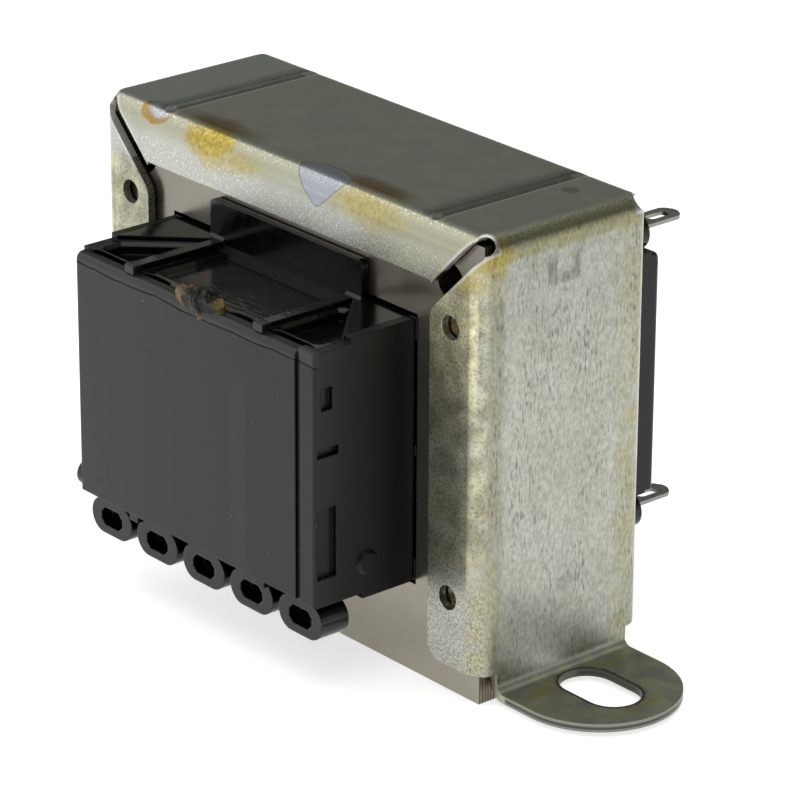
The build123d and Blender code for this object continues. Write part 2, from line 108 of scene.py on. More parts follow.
class Shader:
    """Short calls that build one node material round its Principled shader."""

    def __init__(self, name):
        self.material = bpy.data.materials.new(name)
        self.material.use_nodes = True
        self.tree = self.material.node_tree
        self.bsdf = self.tree.nodes["Principled BSDF"]
        places = self.node("ShaderNodeTexCoord")
        self.coordinates = places.outputs["Object"]
        self.facing = places.outputs["Normal"]
        self.place = self.stretched(1.0, 1.0, 1.0)
        self.x, self.y, self.z = self.split(self.place)

    def node(self, kind, **settings):
        """New node with its settings."""
        made = self.tree.nodes.new(kind)
        for key, value in settings.items():
            setattr(made, key, value)
        return made

    def feed(self, socket, value):
        """Link a socket, or set it where the value is a plain number or colour."""
        if isinstance(value, bpy.types.NodeSocket):
            self.tree.links.new(value, socket)
        else:
            socket.default_value = value

    def set(self, **values):
        """Principled inputs by name, with spaces written as underscores."""
        for key, value in values.items():
            self.feed(self.bsdf.inputs[key.replace("_", " ")], value)

    def stretched(self, x, y, z):
        """Place on the object in millimetres, times a factor for each axis."""
        mapping = self.node("ShaderNodeMapping")
        self.feed(mapping.inputs["Vector"], self.coordinates)
        mapping.inputs["Scale"].default_value = (x / MM, y / MM, z / MM)
        return mapping.outputs["Vector"]

    def split(self, vector):
        """The three parts of a vector."""
        made = self.node("ShaderNodeSeparateXYZ")
        self.feed(made.inputs[0], vector)
        return made.outputs

    def noise(self, scale, detail=3.0, vector=None):
        """Noise from 0 to 1, with scale lumps to the millimetre."""
        made = self.node("ShaderNodeTexNoise")
        self.feed(made.inputs["Vector"], vector or self.place)
        made.inputs["Scale"].default_value = scale
        made.inputs["Detail"].default_value = detail
        return made.outputs["Fac"]

    def ragged(self, width, scale, detail=3.0, vector=None):
        """Noise about zero, which roughens an edge within the width."""
        return self.times(self.minus(self.noise(scale, detail, vector), 0.5), width)

    def waves(self, direction, per_mm, distortion=0.0):
        """Bands across a direction, from 0 to 1."""
        made = self.node("ShaderNodeTexWave", wave_type="BANDS", bands_direction=direction)
        self.feed(made.inputs["Vector"], self.place)
        made.inputs["Scale"].default_value = per_mm * math.pi / 10
        made.inputs["Distortion"].default_value = distortion
        return made.outputs["Fac"]

    def math(self, operation, a, b=0.0):
        """Operation on one or two numbers, by Blender's name for it."""
        made = self.node("ShaderNodeMath", operation=operation)
        self.feed(made.inputs[0], a)
        self.feed(made.inputs[1], b)
        return made.outputs[0]

    def plus(self, a, b):
        return self.math("ADD", a, b)

    def minus(self, a, b):
        return self.math("SUBTRACT", a, b)

    def times(self, a, b):
        return self.math("MULTIPLY", a, b)

    def size(self, a):
        """Number without its sign."""
        return self.math("ABSOLUTE", a)

    def length(self, a, b):
        """Length of the diagonal over two numbers."""
        return self.math("SQRT", self.plus(self.times(a, a), self.times(b, b)))

    def both(self, *masks):
        """Where every mask holds."""
        found = masks[0]
        for mask in masks[1:]:
            found = self.times(found, mask)
        return found

    def either(self, *masks):
        """Where any mask holds."""
        found = masks[0]
        for mask in masks[1:]:
            found = self.math("MAXIMUM", found, mask)
        return found

    def span(self, value, low, high, to_low=0.0, to_high=1.0):
        """Value carried smoothly from the range low to high into another range."""
        made = self.node("ShaderNodeMapRange", interpolation_type="SMOOTHSTEP")
        self.feed(made.inputs["Value"], value)
        made.inputs["From Min"].default_value = low
        made.inputs["From Max"].default_value = high
        made.inputs["To Min"].default_value = to_low
        made.inputs["To Max"].default_value = to_high
        return made.outputs["Result"]

    def blot(self, distance, edge, wobble, grain):
        """Mask where a distance is below one, with a ragged soft edge."""
        rough = self.plus(distance, self.ragged(2 * wobble, grain))
        return self.span(rough, 1.0 - edge, 1.0 + edge, 1.0, 0.0)

    def spot(self, centre, reach, edge=0.4, wobble=0.5, grain=0.6):
        """Blot round a place, as far as reach on each axis."""
        offset = self.node("ShaderNodeVectorMath", operation="SUBTRACT")
        self.feed(offset.inputs[0], self.place)
        offset.inputs[1].default_value = centre
        share = self.node("ShaderNodeVectorMath", operation="DIVIDE")
        self.feed(share.inputs[0], offset.outputs[0])
        share.inputs[1].default_value = reach
        length = self.node("ShaderNodeVectorMath", operation="LENGTH")
        self.feed(length.inputs[0], share.outputs[0])
        return self.blot(length.outputs["Value"], edge, wobble, grain)

    def patch(self, u, v, centre, reach, edge=0.4, wobble=0.5, grain=0.6):
        """Blot round a place on two measures, as far as reach along each."""
        across = self.math("DIVIDE", self.minus(u, centre[0]), reach[0])
        along = self.math("DIVIDE", self.minus(v, centre[1]), reach[1])
        return self.blot(self.length(across, along), edge, wobble, grain)

    def line(self, value, place, half, edge):
        """Mask of a thin line where the value passes a place."""
        return self.span(self.size(self.minus(value, place)), half, half + edge, 1.0, 0.0)

    def mix(self, factor, a, b):
        """Colour between a and b."""
        return self.between("RGBA", factor, a, b)

    def blend(self, factor, a, b):
        """Number between a and b."""
        return self.between("FLOAT", factor, a, b)

    def between(self, kind, factor, a, b):
        """Mix of two values of one kind."""
        made = self.node("ShaderNodeMix", data_type=kind)
        self.feed(made.inputs["Factor"], factor)
        self.feed(made.inputs["A"], a)
        self.feed(made.inputs["B"], b)
        return made.outputs["Result"]

    def coat(self, colour, mask, paint, share=1.0):
        """Colour with a share of paint over it where the mask holds."""
        return self.mix(self.times(mask, share), colour, paint)

    def scaled(self, colour, level):
        """Colour made lighter or darker."""
        made = self.node("ShaderNodeVectorMath", operation="SCALE")
        self.feed(made.inputs[0], colour)
        self.feed(made.inputs["Scale"], level)
        return made.outputs[0]

    def bump(self, height, strength, distance_mm, edge_mm=0.0):
        """Surface relief, over edges that are rounded by edge_mm."""
        made = self.node("ShaderNodeBump")
        made.inputs["Strength"].default_value = strength
        made.inputs["Distance"].default_value = distance_mm * MM
        self.feed(made.inputs["Height"], height)
        if edge_mm:
            rounded = self.node("ShaderNodeBevel", samples=4)
            rounded.inputs["Radius"].default_value = edge_mm * MM
            self.feed(made.inputs["Normal"], rounded.outputs["Normal"])
        self.feed(self.bsdf.inputs["Normal"], made.outputs["Normal"])


def rgb(red, green, blue):
    return (red, green, blue, 1.0)


def grey(level):
    return rgb(level, level, level)


class ClampShader(Shader):
    """Shader with masks of the clamp's faces, which the parts of its finish share."""

    def __init__(self, name):
        super().__init__(name)
        self.reach_x = self.size(self.x)
        self.reach_y = self.size(self.y)
        self.over = self.way_over_front_bend()
        self.front = self.span(self.y, CLAMP_FRONT + 2.25, CLAMP_FRONT + 2.85, 1.0, 0.0)
        self.top = self.flat_top()
        self.foot = self.span(self.z, FOOT_TOP + 0.8, FOOT_TOP + 0.2)
        self.flat = self.either(self.top, self.foot)
        self.end = self.span(self.reach_x, CLAMP_END - 0.5, CLAMP_END - 0.1)
        self.end_and_bends = self.span(self.reach_x, CLAMP_END - 2.6, CLAMP_END - 1.2)
        self.lips = self.span(self.reach_y, CLAMP_REACH - 0.35, CLAMP_REACH - 0.1)
        self.on_top_lip = self.span(self.z, TOP_LIP_LOW - 0.9, TOP_LIP_LOW - 0.2)
        self.patches = self.noise(0.45)
        self.grain = self.noise(4.6, 4.0)
        self.dashes = self.noise(1.0, 3.0, self.stretched(4.2, 4.2, 0.95))

    def way_over_front_bend(self):
        """Millimetres up the front lip and over its bend, from the bend's start; far off at the rear."""
        far_off = self.span(self.y, CLAMP_FRONT + 5.25, CLAMP_FRONT + 7.25, 0.0, 50.0)
        up, back = self.minus(self.z, CLAMP_TOP - BEND), self.minus(self.y, CLAMP_FRONT)
        return self.plus(self.plus(up, back), far_off)

    def flat_top(self):
        """Mask of the flat top with its creases, as far as the bends."""
        level = self.span(self.z, CLAMP_TOP - 0.5, CLAMP_TOP - 0.05)
        with_creases = self.span(self.z, CLAMP_TOP - 1.0, CLAMP_TOP - 0.6)
        short_of_ends = self.span(self.reach_x, CLAMP_END - 2.4, CLAMP_END - 3.2)
        short_of_lips = self.span(self.reach_y, CLAMP_REACH - BEND, CLAMP_REACH - BEND - 0.5)
        return self.either(level, self.both(with_creases, short_of_ends, short_of_lips))

    def by_side_lips(self, low):
        """Mask of the side lips, which fades in above a height and ends at the slits."""
        outside = self.span(self.reach_x, SIDE_LIP_EDGE - 1.8, SIDE_LIP_EDGE - 0.3)
        below_slits = self.span(self.z, TOP_LIP_LOW + 0.6, TOP_LIP_LOW - 0.9)
        return self.both(outside, self.span(self.z, low, SIDE_LIP_WORN), below_slits)


def zinc_tint(s):
    """Zinc under a thin varnish, which is more yellow along the bends and round the slits."""
    cloud = s.noise(0.3, 4.0)
    zinc = s.mix(s.span(cloud, 0.35, 0.65), rgb(0.405, 0.415, 0.355), rgb(0.455, 0.465, 0.405))
    zinc = tint_foot(s, tint_lips(s, tint_bends(s, zinc)))
    steel = s.mix(s.span(cloud, 0.3, 0.7), rgb(0.43, 0.44, 0.375), rgb(0.46, 0.465, 0.385))
    steel = s.coat(steel, s.span(s.x, -16.0, -21.0), rgb(0.50, 0.52, 0.48), 0.8)
    return s.coat(zinc, s.top, steel)


def tint_bends(s, zinc):
    """Varnish on the front bend and down the upright bends, and darker olive on the end bends under the
    edges of the top as painted shade.
    """
    front_bend = s.both(s.span(s.over, -0.8, 0.8), s.span(s.over, 3.4, 4.4, 1.0, 0.0), s.front)
    zinc = s.coat(zinc, front_bend, rgb(0.40, 0.39, 0.275), 0.7)
    before = s.plus(s.y, s.times(s.patches, 0.6))
    front_upright = s.span(before, CLAMP_FRONT + 2.3, CLAMP_FRONT + 2.85, 1.0, 0.0)
    behind = s.plus(s.y, s.times(s.patches, 3.0))
    rear_upright = s.span(behind, CLAMP_REACH - 3.05, CLAMP_REACH - 1.85)
    thickness = s.span(s.patches, 0.36, 0.62, 0.3, 0.85)
    uprights = s.both(s.end_and_bends, s.either(front_upright, rear_upright), thickness)
    zinc = s.coat(zinc, uprights, rgb(0.39, 0.37, 0.245))
    # painted shade: the darker olive under the top and on the shoulder of each end bend stands in for the
    # shade of the bend turning up
    wavy = s.plus(s.z, s.ragged(1.6, 1.0, 3.0, s.stretched(1.2, 2.6, 0.5)))
    under_top_shade = s.both(s.end_and_bends, s.span(wavy, CLAMP_TOP - 2.9, CLAMP_TOP - 2.3))
    zinc = s.coat(zinc, under_top_shade, rgb(0.345, 0.335, 0.205))
    by_end = s.span(s.reach_x, CLAMP_END - 2.4, CLAMP_END - 1.6)
    shoulder = s.both(by_end, s.span(wavy, CLAMP_TOP - 1.5, CLAMP_TOP - 0.7))
    return s.coat(zinc, shoulder, rgb(0.33, 0.33, 0.21))


def tint_lips(s, zinc):
    """Olive varnish on the side lips, and greyer zinc along the lower edge of the top lip."""
    side_lips = s.both(s.lips, s.by_side_lips(8.0))
    olive = s.both(side_lips, s.span(s.patches, 0.35, 0.6, 0.3, 0.9))
    zinc = s.coat(zinc, olive, rgb(0.43, 0.425, 0.28))
    upper = s.span(s.z, CLAMP_TOP - 19.1, CLAMP_TOP - 10.1)
    right_upper = s.both(side_lips, s.span(s.x, -1.0, 1.0), upper)
    zinc = s.coat(zinc, right_upper, rgb(0.78, 0.74, 0.48), 0.9)
    left = s.both(side_lips, s.span(s.x, 1.0, -1.0))
    zinc = s.coat(zinc, left, rgb(0.40, 0.395, 0.275), 0.6)
    lower_edge = s.both(s.lips, s.on_top_lip, s.span(s.over, -0.4, -1.4))
    zinc = s.coat(zinc, lower_edge, rgb(0.43, 0.44, 0.41), 0.7)
    right_end = s.both(s.lips, s.span(s.x, 9.0, 17.0), s.span(s.z, TOP_LIP_LOW - 0.4, TOP_LIP_LOW + 0.6))
    return s.coat(zinc, right_end, rgb(0.37, 0.365, 0.25), 0.6)


def tint_foot(s, zinc):
    """Smeared varnish on the feet, with three brown strokes on the visible one."""
    smeared = s.mix(s.span(s.patches, 0.35, 0.65), rgb(0.35, 0.375, 0.315), rgb(0.48, 0.485, 0.33))
    zinc = s.coat(zinc, s.foot, smeared)
    strokes = s.either(
        s.patch(s.x, s.y, (SLOT_PLACE - 2.7, -4.0), (0.7, 2.6), edge=0.5),
        s.patch(s.x, s.y, (SLOT_PLACE + 4.9, 0.6), (0.6, 2.8), edge=0.5),
        s.patch(s.x, s.y, (SLOT_PLACE - 3.3, 3.6), (0.6, 1.8), edge=0.5),
    )
    return s.coat(zinc, s.both(s.foot, strokes), rgb(0.42, 0.37, 0.12), 0.6)


def varnish_runs(s):
    """Golden runs on the front bend and at the slits, and the brown edge they leave on the top."""
    left = s.patch(s.x, s.over, (-11.2, 1.3), (3.5, 2.5), edge=0.45)
    left_tail = s.patch(s.x, s.over, (-7.2, 0.0), (3.2, 1.1), edge=0.7, wobble=0.6)
    right = s.patch(s.x, s.over, (11.8, 0.9), (4.6, 1.9), edge=0.6, wobble=0.6)
    corner_place = (CLAMP_END - 0.6, CLAMP_FRONT + 1.7, CLAMP_TOP - 2.1)
    corner = s.spot(corner_place, (1.7, 1.7, 1.7), edge=0.6, wobble=0.6)
    shoulder_place = (CLAMP_END - 2.9, CLAMP_FRONT, CLAMP_TOP - 4.5)
    shoulder = s.spot(shoulder_place, (2.3, 1.2, 1.5), edge=0.6, wobble=0.6)
    far_place = (-CLAMP_END + 0.8, CLAMP_REACH - 0.6, CLAMP_TOP - 3.1)
    far_corner = s.spot(far_place, (2.6, 3.0, 3.0), edge=0.5, wobble=0.6)
    weak = s.either(left_tail, right, shoulder, far_corner)
    gold = s.either(left, s.times(corner, 0.75), s.times(weak, 0.6))
    brown_left = s.patch(s.x, s.over, (-12.0, 4.0), (4.4, 1.4), edge=0.6, wobble=0.3)
    brown_right = s.patch(s.x, s.over, (11.2, 4.0), (4.2, 1.3), edge=0.6, wobble=0.3)
    return gold, s.both(s.either(brown_left, brown_right), s.span(s.over, 2.9, 3.7))


def bare_flake(s):
    """Chip in the varnish that bares the zinc: a drop shape over the front bend, and its outline."""
    middle, half, low, high = 4.7, 3.5, -1.0, 4.6
    height = s.plus(s.over, s.ragged(0.6, 1.1, 2.0))
    across = s.size(s.minus(s.x, middle))
    swell = s.math("POWER", s.span(height, low - 0.1, high - 1.0), 0.4)
    inside_sides = s.minus(s.times(swell, half), across)
    dome = s.times(s.times(across, across), 0.1)
    inside_roof = s.minus(s.minus(high, height), dome)
    inside = s.math("MINIMUM", s.math("MINIMUM", inside_sides, inside_roof), s.minus(height, low))
    bare = s.span(inside, -0.05, 0.05)
    outline = s.both(s.span(s.size(inside), 0.04, 0.16, 1.0, 0.0), s.span(s.over, -2.0, -1.0))
    return bare, outline


def varnish_drop(s):
    """Round drop of varnish at the left of the front bend: the amber whole, and its clear middle."""
    whole = s.patch(s.x, s.over, (-20.1, 2.2), (2.2, 1.8), edge=0.08, wobble=0.25)
    middle = s.patch(s.x, s.over, (-19.7, 2.7), (1.7, 1.35), edge=0.25, wobble=0.35)
    return whole, middle


def add_spills(s, zinc):
    """Zinc with the golden runs, the bare flake and the round drop over it."""
    gold, brown = varnish_runs(s)
    golden = s.mix(s.span(s.noise(2.2, 4.0), 0.3, 0.7), rgb(0.32, 0.225, 0.012), rgb(0.53, 0.415, 0.08))
    zinc = s.coat(zinc, gold, golden, 0.88)
    zinc = s.coat(zinc, brown, rgb(0.22, 0.12, 0.02), 0.9)
    bare, outline = bare_flake(s)
    zinc = s.coat(zinc, bare, rgb(0.37, 0.385, 0.42))
    zinc = s.coat(zinc, outline, rgb(0.12, 0.12, 0.11), 0.55)
    whole, middle = varnish_drop(s)
    zinc = s.coat(zinc, whole, rgb(0.34, 0.20, 0.03), 0.8)
    return s.coat(zinc, middle, rgb(0.44, 0.45, 0.50), 0.9)


def dark_marks(s):
    """Dark marks: a U on the end wall, a smudge below it, and an oval spot on the top."""
    on_end = s.span(s.x, CLAMP_END - 0.4, CLAMP_END - 0.1)
    rough = s.ragged(0.8, 1.4)
    off = s.plus(s.size(s.plus(s.y, 0.6)), rough)
    below = s.minus(CLAMP_TOP, s.plus(s.z, rough))
    bow = s.both(s.span(off, 2.2, 1.8), s.span(below, 6.4, 5.9), s.span(below, 2.5, 4.1))
    hollow = s.both(s.span(off, 1.1, 0.7), s.span(below, 5.3, 4.8))
    brushed = s.span(s.noise(1.0, 2.0, s.stretched(3.0, 3.0, 0.5)), 0.35, 0.6, 0.45, 1.0)
    mark = s.both(on_end, bow, s.minus(1.0, hollow), brushed)
    smudge = s.both(on_end, s.patch(s.y, s.z, (0.5, 10.2), (1.5, 0.7), edge=0.6, wobble=0.6, grain=1.2))
    on_top = s.span(s.z, CLAMP_TOP - 0.3, CLAMP_TOP - 0.1)
    oval = s.both(on_top, s.patch(s.x, s.y, (22.9, 4.8), (0.9, 0.75), edge=0.2, wobble=0.2))
    return s.either(s.times(mark, 0.42), s.times(smudge, 0.16), s.times(oval, 0.4))


def crease_lines(s):
    """Painted shade and painted highlights along the two creases of the top."""
    shade, light = 0.0, 0.0
    for crease in CREASES:
        before = s.span(s.x, crease - 2.6, crease - 0.5)
        dip_shade = s.both(before, s.span(s.x, crease + 0.1, crease + 0.3, 1.0, 0.0))
        ridge_highlight = s.line(s.x, crease + 0.35, half=0.06, edge=0.12)
        second_ridge_highlight = s.line(s.x, crease + 0.95, half=0.05, edge=0.1)
        shade = s.plus(shade, dip_shade)
        light = s.plus(light, s.either(ridge_highlight, second_ridge_highlight))
    return s.minus(s.times(light, 0.5), s.times(shade, 0.55))


def lip_level(s):
    """Fine grain on the lips, with painted glints on the top one, pits on the side ones and painted light
    and shade by their bends, scuffed below.
    """
    lower_edge = s.both(s.span(s.over, -0.4, -1.4), s.on_top_lip)
    crest = s.both(s.front, s.span(s.over, 1.0, 2.4))
    # painted glints: painted highlights on the crest of the front bend and along the lower edge of the
    # top lip
    glints = s.span(s.noise(5.0, 2.0), 0.54, 0.7, 0.0, 0.9)
    sparkle = s.both(glints, s.either(crest, s.times(lower_edge, 0.6)))
    calm = s.both(s.front, s.span(s.over, -1.0, 0.0), s.span(s.over, 2.2, 1.0))
    sparkle = s.minus(sparkle, s.times(calm, 0.08))
    side_lips = s.by_side_lips(9.0)
    pits = s.both(side_lips, s.span(s.noise(3.6, 5.0), 0.45, 0.7, 0.0, 0.4))
    level = s.minus(s.plus(s.span(s.grain, 0.25, 0.75, 0.86, 1.08), sparkle), pits)
    clouds = s.span(s.noise(0.5), 0.35, 0.65, 0.75, 1.2)
    level = s.times(level, s.blend(side_lips, 1.0, clouds))
    # painted light and shade near the bends of the side lips
    level = s.times(level, lip_bend_light_and_shade(s, side_lips))
    scuffs = s.span(s.noise(3.8, 6.0), 0.32, 0.68, 0.6, 1.2)
    return s.blend(s.span(s.z, SIDE_LIP_WORN, 9.0), level, scuffs)


def lip_bend_light_and_shade(s, side_lips):
    """Painted light on the side lips towards their bend, and painted shade at the beginning of the bend.
    """
    bend_start = CLAMP_END - BEND
    brink_light = s.both(side_lips, s.span(s.reach_x, bend_start - 1.8, bend_start))
    started = s.span(s.reach_x, bend_start - 0.1, bend_start)
    # painted shade where the lip begins to turn into its bend
    turn = s.both(started, s.span(s.reach_x, bend_start + 1.0, bend_start + 0.2), s.front)
    turn = s.both(turn, s.span(s.z, 12.0, 18.0), s.span(s.z, TOP_LIP_LOW + 0.6, TOP_LIP_LOW - 3.4))
    return s.minus(s.plus(1.0, s.times(brink_light, 0.3)), s.times(turn, 0.35))


def end_level(s):
    """Spangle on the ends with short dark dashes in columns, darker towards the top."""
    columns = s.span(s.noise(1.0, 2.0, s.stretched(0.55, 0.55, 0.09)), 0.42, 0.64, 0.2, 1.0)
    dark = s.both(s.span(s.dashes, 0.5, 0.66, 0.0, 0.42), columns)
    spangle = s.span(s.noise(3.4, 6.0, s.stretched(1.0, 1.0, 0.6)), 0.3, 0.7, 0.8, 1.1)
    darker = s.span(s.z, CLAMP_TOP - 18.1, CLAMP_TOP - 3.1, 0.94, 0.82)
    return s.times(s.minus(spangle, dark), darker)


def flat_level(s):
    """Smooth top and feet, with light specks and the painted shade and highlights of the creases."""
    specks = s.span(s.noise(4.5, 1.0), 0.79, 0.82, 0.0, 0.6)
    smooth = s.plus(s.span(s.noise(0.35), 0.3, 0.7, 0.96, 1.03), specks)
    return s.plus(smooth, crease_lines(s))


def zinc_level(s):
    """How light the zinc is on each face of the clamp."""
    level = s.blend(s.end, lip_level(s), end_level(s))
    level = s.blend(s.flat, level, flat_level(s))
    return s.times(level, s.minus(1.0, dark_marks(s)))


def slit_edges(s):
    """Cut walls of the slits, found by the way they face, and painted highlights on the rim beside each
    slit.
    """
    near_corner = s.both(
        s.span(s.reach_x, CLAMP_END - 6.0, CLAMP_END - 5.5),
        s.span(s.reach_y, CLAMP_REACH - 5.25, CLAMP_REACH - 4.85),
        s.span(s.z, TOP_LIP_LOW - 0.6, TOP_LIP_LOW),
    )
    facing_x, _, facing_z = s.split(s.facing)
    outward = s.times(facing_x, s.math("SIGN", s.x))
    across_slit = s.times(s.minus(outward, facing_z), DIAGONAL)
    walls = s.both(s.span(s.size(across_slit), 0.8, 0.9), near_corner)
    off_slit = s.minus(s.reach_x, s.minus(s.z, CLAMP_TOP - CLAMP_END))
    past_wall = s.minus(s.times(s.size(off_slit), DIAGONAL), SLIT_HALF)
    by_lip = s.span(s.reach_y, CLAMP_REACH - 2.25, CLAMP_REACH - 1.85)
    # painted highlight on the rim just past each slit wall
    beside = s.both(s.span(past_wall, 0.22, 0.34, 1.0, 0.0), by_lip)
    return walls, s.both(beside, near_corner)


def foot_edges(s):
    """Cut edges round the feet, and the dark edges of their slots."""
    below_top = s.span(s.z, FOOT_TOP - 0.1, FOOT_TOP - 0.02, 1.0, 0.0)
    edges = s.both(below_top, s.span(s.reach_x, CLAMP_END + 1.0, CLAMP_END + 1.4))
    past_flat = s.either(s.minus(s.size(s.minus(s.reach_x, SLOT_PLACE)), SLOT_FLAT), 0.0)
    off_middle = s.plus(s.length(past_flat, s.y), s.ragged(0.5, 1.6))
    past_edge = s.minus(off_middle, SLOT_RADIUS)
    below = s.span(s.z, FOOT_TOP + 0.4, FOOT_TOP + 0.1)
    on_foot = s.both(below, s.span(s.reach_x, CLAMP_END + 0.6, CLAMP_END + 1.0))
    return edges, s.both(on_foot, s.span(past_edge, 0.1, 0.5, 1.0, 0.0))


def zinc_plated_steel():
    """Finish of the clamp."""
    s = ClampShader("zinc_plated_steel")
    zinc = s.scaled(add_spills(s, zinc_tint(s)), zinc_level(s))
    walls, rim_highlights = slit_edges(s)
    # painted highlight on the rims beside the slits
    zinc = s.coat(zinc, rim_highlights, rgb(0.60, 0.60, 0.57), 0.6)
    zinc = s.coat(zinc, walls, rgb(0.62, 0.59, 0.56))
    edges, slots = foot_edges(s)
    torn = s.line(s.z, FOOT_TOP - 0.42, half=0.08, edge=0.12)
    zinc = s.coat(zinc, edges, s.mix(torn, rgb(0.24, 0.24, 0.22), rgb(0.08, 0.08, 0.07)))
    zinc = s.coat(zinc, slots, rgb(0.04, 0.04, 0.03), 0.85)
    varnished_lips = s.both(s.by_side_lips(9.0), s.front)
    dulled = s.either(s.times(walls, 0.65), s.times(varnished_lips, 0.32), s.times(s.foot, 0.12))
    s.set(Base_Color=zinc, Metallic=s.minus(1.0, dulled))
    rough = s.blend(s.flat, s.span(s.grain, 0.3, 0.7, 0.25, 0.36), 0.22)
    low_on_ends = s.both(s.end, s.span(s.z, 12.0, 4.0, 0.0, 0.14))
    s.set(Roughness=s.plus(rough, low_on_ends))
    relief = s.plus(s.both(s.minus(1.0, s.flat), s.grain), s.both(s.end, s.dashes))
    s.bump(relief, strength=0.1, distance_mm=0.04, edge_mm=0.12)
    return s.material


def lamination_steel():
    """Finish of the core: smooth faces, and the edges of its sheets."""
    s = Shader("lamination_steel")
    edges = s.span(s.size(s.y), CORE_FACE - 0.02, CORE_FACE - 0.06)
    sheets = s.both(s.waves("Y", per_mm=2.9, distortion=0.5), edges)
    mottle = s.noise(0.2)
    steel = s.mix(mottle, rgb(0.30, 0.28, 0.23), rgb(0.36, 0.335, 0.28))
    steel = s.coat(steel, edges, rgb(0.26, 0.21, 0.17))
    steel = s.coat(steel, s.span(sheets, 0.5, 0.9), rgb(0.03, 0.025, 0.02), 0.85)
    above_coil = s.span(s.z, COVER_TOP - 5.6, COVER_TOP - 1.6)
    steel = s.scaled(steel, s.blend(above_coil, 1.0, s.span(s.x, -22.0, 18.0, 0.68, 1.25)))
    # painted shade on the core where it shows through the slits near the top
    by_slits = s.span(s.size(s.x), CORE_END - 4.0, CORE_END - 3.0)
    slit_shade = s.both(by_slits, s.span(s.z, TOP_LIP_LOW - 0.9, TOP_LIP_LOW + 0.1))
    steel = s.scaled(steel, s.span(slit_shade, 0.0, 1.0, 1.0, 0.5))
    s.set(Base_Color=steel, Metallic=0.9, Roughness=s.span(mottle, 0.3, 0.7, 0.2, 0.28))
    s.bump(s.plus(sheets, s.times(s.noise(3.0), 0.03)), strength=0.25, distance_mm=0.08)
    return s.material


class CoverShader(Shader):
    """Shader with measures on a cover, which the parts of its finish share."""

    def __init__(self, name):
        super().__init__(name)
        self.reach_y = self.size(self.y)
        self.along = self.times(self.x, self.math("SIGN", self.times(self.y, -1.0)))
        self.front = self.span(self.reach_y, COVER_REACH - 1.0, COVER_REACH - 0.2)
        sagging = self.plus(self.z, self.times(self.noise(0.25, 1.0), 0.9))
        self.below_top = self.minus(COVER_TOP - 1.3, sagging)
        self.mottle = self.noise(1.2, 4.0)


def cover_black_with_painted_light(s):
    """Black of a cover with painted light: a panel lightened to one side by a painted reflection, with a
    painted reflection stripe, and sides in painted shade that darkens away from the front.
    """
    # painted reflection: the panel is lighter to one side
    panel = s.mix(s.span(s.along, -17.0, 12.0), rgb(0.013, 0.013, 0.0135), grey(0.001))
    lower = s.span(s.z, COVER_TOP - 4.6, COVER_TOP - 7.6)
    # painted reflection: a light upright stripe on the panel
    stripe = s.both(s.line(s.along, 6.8, half=0.6, edge=1.2), lower)
    panel = s.coat(panel, stripe, grey(0.022), 0.5)
    # painted shade: the sides darken away from the front
    sides = s.mix(s.span(s.reach_y, COVER_REACH - 3.9, COVER_REACH - 1.4), grey(0.0005), grey(0.007))
    return s.scaled(s.coat(sides, s.front, panel), s.span(s.mottle, 0.3, 0.7, 0.85, 1.15))


def cover_dust_and_painted_light(s, black):
    """Black with painted light on the rim along the top of the panel, dust on it, and painted light
    inside the groove beside it.
    """
    # painted light on the upward-facing rim along the top of the panel
    rim = s.both(s.front, s.span(s.below_top, 0.0, 0.12, 1.0, 0.0))
    black = s.coat(black, rim, rgb(0.035, 0.035, 0.04), 0.6)
    dust = s.both(s.front, s.span(s.noise(1.6, 1.0), 0.78, 0.82))
    black = s.coat(black, dust, rgb(0.16, 0.16, 0.15), 0.5)
    inside = s.both(
        s.span(s.reach_y, COVER_REACH - 0.32, COVER_REACH - 0.27, 1.0, 0.0),
        s.span(s.reach_y, COVER_REACH - 1.2, COVER_REACH - 0.9),
    )
    # painted light inside the groove, which stands in for light reaching into it
    groove = s.both(s.line(s.along, COVER_JOINT, half=0.15, edge=0.03), inside)
    return s.coat(black, groove, grey(0.09))


def cover_plastic():
    """Finish of the covers: a satin panel with a fine seam along its top, whose dark colour is a painted
    shadow line, and duller sides.
    """
    s = CoverShader("cover_plastic")
    # the seam's dark colour is a painted shadow line under the rim; its roughness and dip are relief
    seam = s.both(s.front, s.line(s.below_top, 0.12, half=0.05, edge=0.08))
    black = cover_dust_and_painted_light(s, cover_black_with_painted_light(s))
    s.set(Base_Color=s.coat(black, seam, grey(0.001)), IOR=1.37)
    bands = s.noise(0.3, 2.0, s.stretched(1.0, 1.0, 0.02))
    satin = s.span(bands, 0.35, 0.65, 0.2, 0.3)
    dull = s.span(s.reach_y, COVER_REACH - 6.4, COVER_REACH - 1.9, 0.45, 0.4)
    rough = s.blend(s.front, dull, satin)
    s.set(Roughness=s.plus(rough, s.times(seam, 0.5)))
    relief = s.plus(s.times(bands, 0.5), s.times(s.mottle, 0.1))
    relief = s.minus(relief, s.times(seam, 0.4))
    s.bump(relief, strength=0.08, distance_mm=0.2, edge_mm=0.18)
    return s.material


